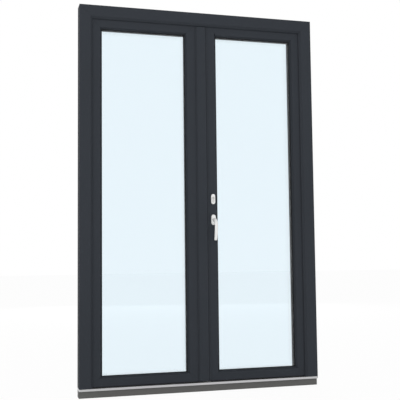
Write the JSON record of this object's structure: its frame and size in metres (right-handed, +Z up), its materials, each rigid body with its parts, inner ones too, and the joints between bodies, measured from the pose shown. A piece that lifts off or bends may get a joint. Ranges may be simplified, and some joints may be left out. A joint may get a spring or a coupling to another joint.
{
  "type": "double balcony door",
  "caption": "Double inward-opening glazed balcony door in a dark frame, with a cover strip where the leaves meet, a low metal threshold and a white lever handle.",
  "frame": {"origin": "underside of the base profile, at mid-width and at the middle of the frame's depth", "axes": "+Z up, +Y from outside to inside, +X to the right seen from outside"},
  "size_m": [1.35, 0.2126, 2.11],
  "materials": {
    "anthracite_profile": "fine leather-grain foil, satin",
    "threshold_metal": "satin anodised",
    "base_plastic": "extruded, matt",
    "seal_rubber": "extruded rubber, matt",
    "grey_seal": "soft lip in the colour of the profiles, matt",
    "pane": "clear float glass",
    "spacer": "warm-edge spacer, matt",
    "white_fitting": "white powder coat, satin",
    "hinge_coat": "anthracite powder coat, satin",
    "lock_steel": "zinc plated",
    "cylinder_nickel": "nickel plated brass"
  },
  "bodies": {
    "frame": {"base_profile": "base_plastic", "threshold": "threshold_metal", "left_jamb": "anthracite_profile", "right_jamb": "anthracite_profile", "head": "anthracite_profile", "frame_gasket": "grey_seal", "left_hinge_frame_parts": "hinge_coat", "right_hinge_frame_parts": "hinge_coat"},
    "left_leaf": {"left_hinge_stile": "anthracite_profile", "left_meeting_stile": "anthracite_profile", "left_top_rail": "anthracite_profile", "left_bottom_rail": "anthracite_profile", "left_glass": "pane", "left_glass_spacers": "spacer", "left_glazing_gaskets": "seal_rubber", "left_glazing_beads": "anthracite_profile", "left_leaf_gasket": "seal_rubber", "left_foot_seal": "seal_rubber", "left_hinge_leaf_parts": "hinge_coat", "false_mullion": "anthracite_profile", "striker_plates": "lock_steel", "shoot_bolt_lever": "lock_steel", "meeting_seal": "grey_seal"},
    "right_leaf": {"right_hinge_stile": "anthracite_profile", "right_meeting_stile": "anthracite_profile", "right_top_rail": "anthracite_profile", "right_bottom_rail": "anthracite_profile", "right_glass": "pane", "right_glass_spacers": "spacer", "right_glazing_gaskets": "seal_rubber", "right_glazing_beads": "anthracite_profile", "right_leaf_gasket": "seal_rubber", "right_foot_seal": "seal_rubber", "right_hinge_leaf_parts": "hinge_coat", "lock_faceplate": "lock_steel", "lock_cams": "lock_steel", "lock_cylinder": "cylinder_nickel", "outer_escutcheon": "white_fitting", "inner_escutcheon": "white_fitting", "outer_rosette": "white_fitting", "inner_rosette": "white_fitting"},
    "handle": {"outer_lever": "white_fitting", "inner_lever": "white_fitting", "handle_spindle": "lock_steel"}
  },
  "joints": [
    {"name": "left_leaf_swing", "type": "hinge", "parent": "frame", "child": "left_leaf", "pos_m": [-0.649, 0.063, 1.056], "axis": [0, 0, 1], "range_deg": [0, 100]},
    {"name": "right_leaf_swing", "type": "hinge", "parent": "frame", "child": "right_leaf", "pos_m": [0.649, 0.063, 1.056], "axis": [0, 0, -1], "range_deg": [0, 100]},
    {"name": "handle_turn", "type": "hinge", "parent": "right_leaf", "child": "handle", "pos_m": [0.072, -0.021, 0.94], "axis": [0, -1, 0], "range_deg": [0, 90]}
  ]
}
